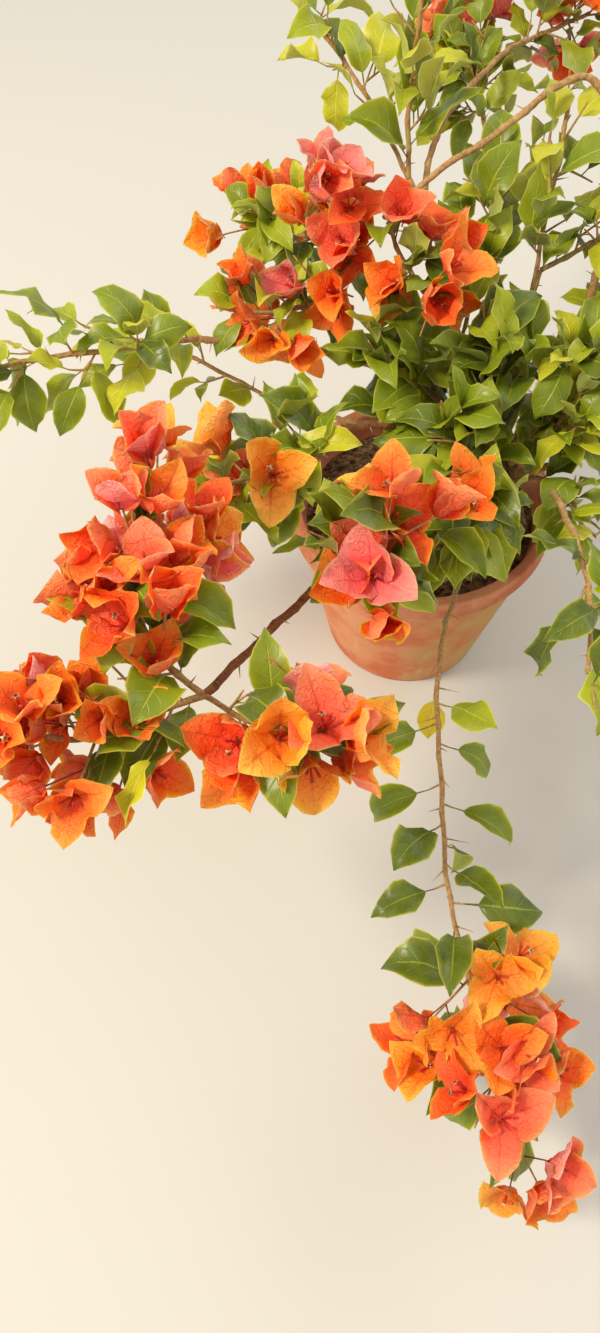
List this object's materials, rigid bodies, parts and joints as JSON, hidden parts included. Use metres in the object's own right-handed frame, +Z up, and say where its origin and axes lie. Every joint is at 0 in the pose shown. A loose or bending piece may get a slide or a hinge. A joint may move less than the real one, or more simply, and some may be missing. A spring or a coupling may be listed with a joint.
{
  "type": "potted bougainvillea shrub",
  "caption": "Young bougainvillea shrub in a round clay pot: a short off-centre trunk, long arching boughs, green leaves and orange papery blossom, a shoot hanging over the rim.",
  "frame": {"origin": "centre of the pot's flat underside", "axes": "+Z up, out of the pot's mouth; -Y towards the front, where one shoot hangs over the rim; +X to the right seen from the front, the side on which the trunk stands"},
  "size_m": [0.9871, 1.2408, 0.7599],
  "materials": {
    "terracotta": "matte",
    "soil": "matte",
    "bark": "matte",
    "bough_bark": "matte",
    "foliage": "satin",
    "blossom": "matte"
  },
  "bodies": {
    "root": {"pot": "terracotta", "soil": "soil", "trunk": "bark", "bough_front": "bough_bark", "bough_left_front": "bough_bark", "bough_front_centre": "bough_bark", "bough_left_middle": "bough_bark", "bough_left_long": "bough_bark", "bough_left_far": "bough_bark", "bough_top_left": "bough_bark", "bough_upright": "bough_bark", "bough_top_right": "bough_bark", "bough_arch_rise": "bough_bark", "bough_arch_fall": "bough_bark", "bough_right": "bough_bark", "bough_right_low": "bough_bark", "bough_right_front": "bough_bark", "bough_right_far": "bough_bark", "bough_back_right": "bough_bark", "bough_back": "bough_bark", "bough_back_left": "bough_bark", "spray_front_drop": "foliage", "spray_left_high": "blossom", "spray_left_low": "blossom", "spray_left_near": "blossom", "spray_front_centre": "blossom", "spray_left_middle": "foliage", "spray_left_long": "foliage", "spray_left_far": "foliage", "spray_top_left_low": "blossom", "spray_top_left_high": "blossom", "spray_top_centre": "blossom", "spray_top_upright": "foliage", "spray_top_upright_left": "foliage", "spray_top_right": "foliage", "spray_right_rear": "foliage", "spray_right_low": "foliage", "spray_right_front": "foliage", "spray_right_far": "blossom", "spray_back_right": "foliage", "spray_back": "foliage", "spray_back_left": "foliage", "spray_centre_left": "foliage", "spray_centre_right": "foliage", "spray_centre_top": "foliage", "spray_centre_front": "foliage", "spray_rim_right": "foliage", "spray_rim_front": "foliage", "spray_right_upright": "foliage", "spray_under_arch": "foliage"}
  },
  "joints": []
}
